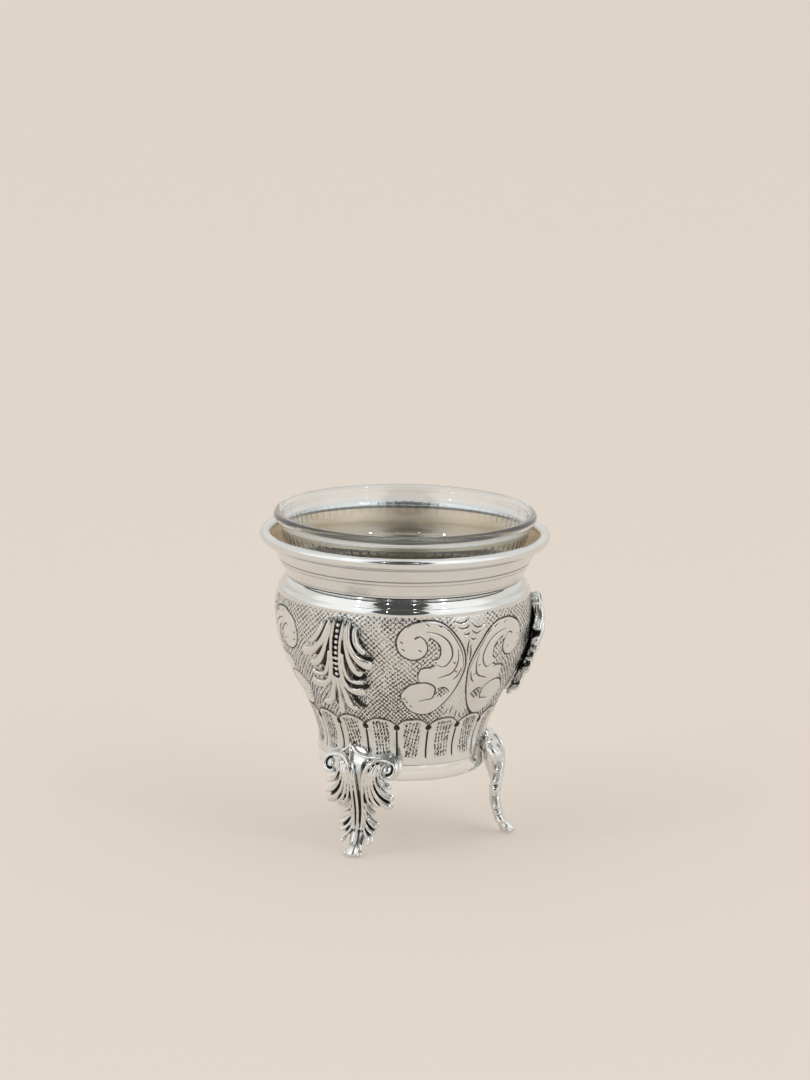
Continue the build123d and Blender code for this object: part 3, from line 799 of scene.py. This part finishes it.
# Right half of a foot. Each strand has its path, as distance from the middle and height, its widths,
# and its heights off the foot's front.
FOOT_RIBBON = (((0.8, 5.0), (1.0, 9.0), (1.15, 12.5), (1.35, 16.0), (1.9, 18.3), (3.0, 19.8), (4.6, 20.5),
                (6.3, 20.35), (7.6, 19.87), (8.1, 18.7), (7.62, 17.53), (6.45, 17.05), (5.3, 17.5)),
               (0.5, 0.6, 0.75, 0.9, 0.9, 0.8), (0.3, 0.4, 0.6, 1.0, 1.1))
FOOT_FINGERS = (
    (((4.9, 19.3), (4.6, 17.6), (5.0, 16.2), (5.9, 15.2), (7.2, 14.9)),
     (0.5, 0.6, 0.9), (0.1, 1.0)),
    (((4.3, 19.6), (3.85, 17.6), (4.1, 15.6), (5.0, 13.9), (6.2, 12.9), (7.6, 12.4)),
     (0.5, 0.6, 0.9), (0.1, 0.3, 1.0)),
    (((3.7, 19.5), (3.2, 17.2), (3.4, 14.8), (4.3, 12.7), (5.7, 11.3), (7.3, 10.5)),
     (0.5, 0.7, 1.5), (0.1, 0.4, 1.0)),
    (((3.0, 19.0), (2.6, 16.6), (2.75, 14.2), (3.4, 12.0), (4.6, 10.4)),
     (0.5, 0.6, 0.9), (0.1, 0.7)),
    (((2.3, 18.0), (2.0, 15.6), (2.1, 13.2), (2.6, 11.4), (3.6, 10.5)),
     (0.5, 0.6, 0.7), (0.1, 0.6)),
    (((1.5, 11.2), (2.1, 9.7), (3.5, 8.7)), (0.5, 0.6, 0.8), (0.1, 0.7)),
    (((1.4, 10.0), (1.9, 8.2), (3.0, 6.9), (4.3, 6.2)), (0.5, 0.6, 1.0), (0.1, 0.8)),
    (((1.25, 8.8), (1.6, 7.0), (2.6, 5.6), (4.0, 4.9)), (0.5, 0.6, 1.0), (0.1, 0.7)),
    (((1.1, 7.4), (1.35, 5.8), (2.1, 4.5), (2.9, 3.6), (2.9, 2.5)),
     (0.5, 0.6, 0.7), (0.1, 0.5)),
)
# The midrib and the crest lean to the left at the top, as one casting for all feet
CREST_TIP = (-3.3, 22.6)
FOOT_STEM = ((CREST_TIP, (-2.6, 20.8), (-1.3, 18.2), (-0.4, 15.0), (0.0, 10.0), (0.0, 5.0), (0.0, 2.4)),
             (0.6, 0.8, 0.7, 0.6, 0.6), (0.2, 0.4, 0.6, 0.6, 0.4))
FOOT_CRESTS = (
    ((CREST_TIP, (-2.0, 21.5), (0.2, 20.6), (2.6, 20.6), (4.6, 21.1), (6.2, 21.0)),
     (0.7, 0.6, 0.5, 0.5), (0.2, 0.1, 0.6)),
    ((CREST_TIP, (-3.9, 21.6), (-4.8, 21.1), (-6.2, 21.0)), (0.7, 0.5, 0.5), (0.2, 0.2, 0.6)),
)
CREST_WEB = (((0.0, 18.4), (-0.7, 20.0), (-2.2, 21.4), (-3.1, 22.4)), (4.4, 4.6, 2.6, 0.8), (-0.2, 0.0))
FOOT_WEB_WIDTH = 1.7  # the web under a strand is this much wider than the strand
FOOT_WEB_DROP = 0.85  # and lies this far behind it
# Height and half width of the leg, from the top down
FOOT_LEG = ((21.0, 1.6), (20.0, 2.2), (16.0, 2.4), (10.0, 1.9), (5.0, 1.8), (2.0, 1.7), (0.3, 1.5))
LEG_OUT = 0.1  # the leg's front lies this far off the foot's front
LEG_STEPS = 60
# Beads: distance from the middle, height, height off the front, and size
VOLUTE_EYE = (6.45, 18.65, 0.7, 0.85)
TOE_BEAD = (1.6, 0.8, 0.0, 0.6)
TOE_BALL = (0.0, 1.35, 0.1, 1.35)


def on_upright(line, height):
    """Radius at a height of a line that runs downwards."""
    points = smooth(line, 200)[::-1]
    return np.interp(height, points[:, 1], points[:, 0])


def on_foot(across, height, out):
    radius = on_upright(FOOT_FRONT, height) + out
    forward = np.sqrt(np.maximum(radius ** 2 - across ** 2, 1.0))
    return np.stack([forward, across, height], axis=1)


def off_foot(x, y, z):
    """Height off the foot's front, made larger at the top and the toe, which keeps the painted shade off
    them.
    """
    off = np.hypot(x, y) - on_upright(FOOT_FRONT, z)
    return off + 2 * ease(*FOOT_UNSHADED_TOP_Z, z) + 2 * (1 - ease(*FOOT_UNSHADED_TOE_Z, z))


def foot_core():
    """The solid leg behind the ornament, from the wall down to the toe."""
    leg = np.array(FOOT_LEG)[::-1]
    height = np.linspace(leg[-1, 0], leg[0, 0], LEG_STEPS)
    half = np.interp(height, leg[:, 0], leg[:, 1])
    thick = on_upright(FOOT_FRONT, height) - on_upright(FOOT_BACK, height)
    turn = full_turn(CAST_SIDES)
    across = half[:, None] * np.cos(turn)
    out = -thick[:, None] * (0.5 - 0.5 * np.sin(turn)) + LEG_OUT
    return tube(np.stack([across, height[:, None] + 0 * across, out], axis=-1))


def foot_mesh():
    parts = [foot_core()]
    for path, widths, outs in (FOOT_RIBBON,) + FOOT_FINGERS:
        ridge = strand(path, widths, outs, top=0.5, depth=1.2, steps=70)
        web_widths = [FOOT_WEB_WIDTH * width for width in widths]
        web_outs = [out - FOOT_WEB_DROP for out in outs]
        web = strand(path, web_widths, web_outs, top=0.3, depth=0.6, steps=70)
        parts += [ridge, mirrored(ridge), web, mirrored(web)]
    parts += [strand(*crest, top=0.35, depth=0.9) for crest in FOOT_CRESTS]
    eye, bead = ball(*VOLUTE_EYE), ball(*TOE_BEAD)
    parts += [strand(*FOOT_STEM, top=0.5, depth=0.8), ball(*TOE_BALL)]
    parts += [eye, mirrored(eye), bead, mirrored(bead)]
    parts.append(strand(*CREST_WEB, top=0.3, depth=0.9))
    return cast("cast_foot", parts, on_foot, off_foot, FOOT_DARK_BAND, FOOT_VOXEL)


def place_castings(foot, leaf, material):
    middle = Matrix.Translation((0, 0, (LEAF_TOP_Z - LEAF_LENGTH / 2) * MM))
    for number in range(FEET):
        turn = Matrix.Rotation(math.radians(number * PITCH), 4, "Z")
        foot_turn = Matrix.Rotation(math.radians(number * PITCH + FOOT_TURNS[number]), 4, "Z")
        lean = LEAF_LEAN if number == FEET - 1 else 0.0
        tilt = middle @ Matrix.Rotation(math.radians(lean), 4, "X") @ middle.inverted()
        for kind, mesh, place in (("foot", foot, foot_turn), ("leaf", leaf, turn @ tilt)):
            own = mesh.copy()
            own.transform(place)
            node_name = f"{kind}_{number + 1}"
            add_piece(f"cast_{node_name}", own, material, "holder", "cast_silver", node_name)


# Materials

def node(tree, kind, inputs=(), **settings):
    """Adds a shader node. Inputs are pairs of socket and value, and a value may be another node's output."""
    made = tree.nodes.new(kind)
    for key, value in settings.items():
        setattr(made, key, value)
    for socket, value in inputs:
        if isinstance(value, bpy.types.NodeSocket):
            tree.links.new(value, made.inputs[socket])
        else:
            made.inputs[socket].default_value = value
    return made


def maths(tree, operation, *values):
    return node(tree, "ShaderNodeMath", enumerate(values), operation=operation).outputs[0]


def noise(tree, place, scale, detail):
    inputs = [("Vector", place), ("Scale", scale), ("Detail", detail)]
    return node(tree, "ShaderNodeTexNoise", inputs).outputs["Fac"]


def blend_colours(tree, factor, first, second):
    made = node(tree, "ShaderNodeMix", [(0, factor), (6, first), (7, second)], data_type="RGBA")
    return made.outputs[2]


def scaled(tree, value, low, high, to_low, to_high, **settings):
    inputs = [("Value", value), ("From Min", low), ("From Max", high)]
    inputs += [("To Min", to_low), ("To Max", to_high)]
    return node(tree, "ShaderNodeMapRange", inputs, **settings).outputs["Result"]


def new_material(name):
    """A new material, its nodes, its shader and the place of a point on the piece."""
    material = bpy.data.materials.new(name)
    material.use_nodes = True
    tree = material.node_tree
    place = node(tree, "ShaderNodeTexCoord").outputs["Object"]
    return material, tree, tree.nodes["Principled BSDF"], place


def add_bump(tree, shader, height, strength, distance):
    inputs = [("Strength", strength), ("Distance", distance), ("Height", height)]
    bump = node(tree, "ShaderNodeBump", inputs)
    tree.links.new(bump.outputs["Normal"], shader.inputs["Normal"])


SILVER = (0.82, 0.845, 0.85, 1)
POLISHED = (0.93, 0.95, 0.95, 1)
CAST = (0.81, 0.825, 0.82, 1)
TARNISH = (0.72, 0.695, 0.635, 1)
# brown of a painted reflection, laid on where the silver is dull
REFLECTED_BROWN = (0.70, 0.555, 0.39, 1)
PATINA_AND_SHADE = (0.030, 0.027, 0.024, 1)
PATINA_AND_SHADE_BAND = (0.08, 0.62)  # values at which the patina and the painted shade start and are full
PATINA_AND_SHADE_COVER = 0.97
PATINA_ROUGHNESS = 0.3  # added where the patina and the painted shade lie
POLISH_GAIN = 0.08  # taken off the roughness where the silver is polished
BRUSHED = 0.85  # how strongly dull spun silver is brushed round the axis
CLOUD_SCALE = 140.0
GRAIN_SCALE = 1500.0
GRAIN_HEIGHT = 0.00004
RUBBED_SCRATCHES = (400, 400, 2600)
SPUN_SCRATCHES = (60, 60, 4200)
GLASS_TINT = (0.90, 0.94, 0.955, 1)
GLASS_IOR = 1.45
GLASS_RIPPLE_HEIGHT = 0.0001


def silver(name, roughness, tarnish, bright=SILVER, spun=False, dullness=0.3):
    """Old silver: bright where it is rubbed, dark with patina in its recesses and with painted shade where a
    piece marks it, with faint clouds and fine scratches.

    Spun silver is scratched round its axis, and brushed the same way where it is dull.
    """
    material, tree, shader, place = new_material(name)
    patina_and_shade, dull_and_reflection, polish = [node(tree, "ShaderNodeAttribute", attribute_name=kind).outputs["Fac"]
                            for kind in ("patina_and_shade", "dull_and_reflection", "polish")]
    clouds = noise(tree, place, CLOUD_SCALE, 5.0)
    stretch = SPUN_SCRATCHES if spun else RUBBED_SCRATCHES
    stretched = node(tree, "ShaderNodeMapping", [("Vector", place), ("Scale", stretch)]).outputs[0]
    scratches = noise(tree, stretched, 1.0, 3.0)

    skin = blend_colours(tree, scaled(tree, clouds, 0.35, 0.75, 0.0, tarnish), bright, TARNISH)
    # painted brown reflection on the dull insides
    skin = blend_colours(tree, dull_and_reflection, skin, REFLECTED_BROWN)
    # patina in the hollows, and painted shade where the pieces mark it
    patina_and_shade_mix = scaled(tree, patina_and_shade, *PATINA_AND_SHADE_BAND, 0.0, PATINA_AND_SHADE_COVER)
    tree.links.new(blend_colours(tree, patina_and_shade_mix, skin, PATINA_AND_SHADE), shader.inputs["Base Color"])
    shader.inputs["Metallic"].default_value = 1.0

    worn = scaled(tree, scratches, 0.3, 0.7, roughness - 0.04, roughness + 0.06)
    rough = maths(tree, "MULTIPLY_ADD", polish, -POLISH_GAIN, worn)
    rough = maths(tree, "MULTIPLY_ADD", dull_and_reflection, dullness, rough)
    rough = maths(tree, "MULTIPLY_ADD", patina_and_shade, PATINA_ROUGHNESS, rough)
    tree.links.new(rough, shader.inputs["Roughness"])
    if spun:
        tree.links.new(maths(tree, "MULTIPLY", dull_and_reflection, BRUSHED), shader.inputs["Anisotropic"])
        tangent = node(tree, "ShaderNodeTangent", direction_type="RADIAL", axis="Z").outputs[0]
        tree.links.new(tangent, shader.inputs["Tangent"])
    grain = maths(tree, "ADD", noise(tree, place, GRAIN_SCALE, 3.0), scratches)
    add_bump(tree, shader, grain, 0.12 if spun else 0.06, GRAIN_HEIGHT)
    return material


def clear_glass():
    """Clear pressed glass, very faintly blue, with soft ripples from the pressing and a little haze."""
    material, tree, shader, place = new_material("clear_glass")
    shader.inputs["Base Color"].default_value = GLASS_TINT
    shader.inputs["Transmission Weight"].default_value = 1.0
    shader.inputs["IOR"].default_value = GLASS_IOR
    shader.inputs["Coat Weight"].default_value = 1.0
    shader.inputs["Coat Roughness"].default_value = 0.0
    haze = noise(tree, place, 90.0, 4.0)
    tree.links.new(scaled(tree, haze, 0.4, 0.8, 0.0, 0.05), shader.inputs["Roughness"])
    add_bump(tree, shader, noise(tree, place, 220.0, 2.0), 0.1, GLASS_RIPPLE_HEIGHT)
    return material


# Stage: floor, light and camera. Angles of the studio are in degrees.

FLOOR_SIZE = 12.0  # metres
FLOOR_COLOUR = (0.50, 0.45, 0.40, 1)
FLOOR_GLOW = (0.33, 0.297, 0.267, 1)
BACKDROP = (0.72, 0.65, 0.58, 1)
STUDIO = (0.80, 0.785, 0.76, 1)
STUDIO_FOOT = (4.0, 18.0)  # the backdrop turns into the studio between these angles up
SOFTBOX = (1.08, 1.075, 1.06, 1)
SOFTBOX_BLUR = 3.0
SOFTBOX_END = (105.0, 80.0)  # the softboxes fade out between these angles aside
DARK_SIDE = (0.08, 0.078, 0.079, 1)
DARK_TURN = -4.0
DARK_HALF_WIDTH = 31.0
DARK_MIDDLE = 52.0
DARK_HALF_HEIGHT = 40.0
DARK_EDGE = (1.15, 0.9)  # the oval sets in between these squared shares of its half size


def add_floor():
    half = FLOOR_SIZE / MM / 2
    points = np.array([(-half, -half, 0), (half, -half, 0), (half, half, 0), (-half, half, 0)])
    floor = bpy.data.objects.new("floor", make_mesh("floor", points, [np.array([[0, 1, 2, 3]])]))
    material = bpy.data.materials.new("floor_paper")
    material.use_nodes = True
    shader = material.node_tree.nodes["Principled BSDF"]
    shader.inputs["Roughness"].default_value = 0.9
    shader.inputs["Specular IOR Level"].default_value = 0.1
    shader.inputs["Base Color"].default_value = FLOOR_COLOUR
    shader.inputs["Emission Color"].default_value = FLOOR_GLOW
    shader.inputs["Emission Strength"].default_value = 1.0
    floor.data.materials.append(material)
    bpy.context.scene.collection.objects.link(floor)


def add_studio():
    """A pale studio, a softbox on either side of the front, and a dark oval high up between them."""
    world = bpy.data.worlds.new("studio")
    bpy.context.scene.world = world
    world.use_nodes = True
    tree = world.node_tree
    direction = node(tree, "ShaderNodeTexCoord").outputs["Generated"]
    x, y, z = node(tree, "ShaderNodeSeparateXYZ", [(0, direction)]).outputs
    side = maths(tree, "ARCTAN2", x, maths(tree, "MULTIPLY", y, -1.0))
    aside = maths(tree, "ABSOLUTE", maths(tree, "SUBTRACT", side, math.radians(DARK_TURN)))
    up = maths(tree, "ARCSINE", z)

    def step(value, low, high):
        return scaled(tree, value, low, high, 0.0, 1.0, interpolation_type="SMOOTHSTEP")

    def angle_step(value, low, high):
        return step(value, math.radians(low), math.radians(high))

    def product(first, second):
        return maths(tree, "MULTIPLY", first, second)

    high_up = angle_step(up, *STUDIO_FOOT)
    past_dark = angle_step(aside, DARK_HALF_WIDTH - SOFTBOX_BLUR, DARK_HALF_WIDTH + SOFTBOX_BLUR)
    softbox = product(product(past_dark, angle_step(aside, *SOFTBOX_END)), high_up)
    wide = maths(tree, "DIVIDE", aside, math.radians(DARK_HALF_WIDTH))
    dark_top = math.radians(DARK_MIDDLE + DARK_HALF_HEIGHT)
    tall = scaled(tree, up, math.radians(DARK_MIDDLE), dark_top, 0.0, 1.0, clamp=False)
    dark = step(maths(tree, "ADD", product(wide, wide), product(tall, tall)), *DARK_EDGE)
    room = blend_colours(tree, high_up, BACKDROP, STUDIO)
    lit = blend_colours(tree, softbox, room, SOFTBOX)
    background = tree.nodes["Background"]
    tree.links.new(blend_colours(tree, dark, lit, DARK_SIDE), background.inputs["Color"])
    background.inputs["Strength"].default_value = 1.0


# Degrees aside, watts, and size in metres
LAMPS = ((-50.0, 0.5, 0.05), (-15.0, 0.08, 0.025), (15.0, 0.08, 0.025), (50.0, 0.5, 0.05))
LAMP_DISTANCE = 1.1  # metres
LAMP_HEIGHT = 50.0


def add_lamps():
    """Small lamps in front, which show as bright points."""
    for side, power, size in LAMPS:
        light = bpy.data.lights.new("lamp", "AREA")
        light.shape = "DISK"
        light.size = size
        light.energy = power
        lamp = bpy.data.objects.new("lamp", light)
        bpy.context.scene.collection.objects.link(lamp)
        turn, rise = math.radians(DARK_TURN + side), math.radians(LAMP_HEIGHT)
        spot = Vector((math.sin(turn) * math.cos(rise), -math.cos(turn) * math.cos(rise), math.sin(rise)))
        lamp.location = spot * LAMP_DISTANCE
        lamp.rotation_euler = spot.to_track_quat("Z", "Y").to_euler()


# Camera, fitted to the lip and the base in the photo, in millimetres and degrees
CAMERA_TURN = -0.8
CAMERA_EYE = (0.0, -969.98, 276.17)
CAMERA_AIM = (0.02, 6.93, 60.62)
CAMERA_ROLL = 0.936
CAMERA_LENS = 160.54
SENSOR = 36.0


def add_camera():
    camera = bpy.data.cameras.new("photo_view")
    camera.sensor_fit = "VERTICAL"
    camera.sensor_height = SENSOR
    camera.lens = CAMERA_LENS
    camera.clip_end = 100.0
    seat = bpy.data.objects.new("photo_view", camera)
    bpy.context.scene.collection.objects.link(seat)
    turn = Matrix.Rotation(math.radians(CAMERA_TURN), 4, "Z")
    eye = turn @ (Vector(CAMERA_EYE) * MM)
    aim = turn @ (Vector(CAMERA_AIM) * MM)
    facing = (eye - aim).to_track_quat("Z", "Y").to_matrix().to_4x4()
    seat.matrix_world = Matrix.Translation(eye) @ facing @ Matrix.Rotation(math.radians(CAMERA_ROLL), 4, "Z")
    bpy.context.scene.camera = seat


add_camera()
add_floor()
add_studio()
add_lamps()
bpy.context.scene.view_settings.view_transform = "Standard"

engraved = silver("engraved_silver", 0.14, 0.45)
satin = silver("satin_silver", 0.22, 0.35, spun=True, dullness=0.1)
polished = silver("polished_silver", 0.09, 0.2, POLISHED)
wire = silver("wire_silver", 0.14, 0.3)
casting = silver("cast_silver", 0.17, 0.45, CAST)
glass = clear_glass()

engraved_body(engraved)
spun_collar(satin)
lip_wire(wire)
base_band(polished)
base_disc(satin)
liner_glass(glass)
place_castings(foot_mesh(), leaf_mesh(), casting)
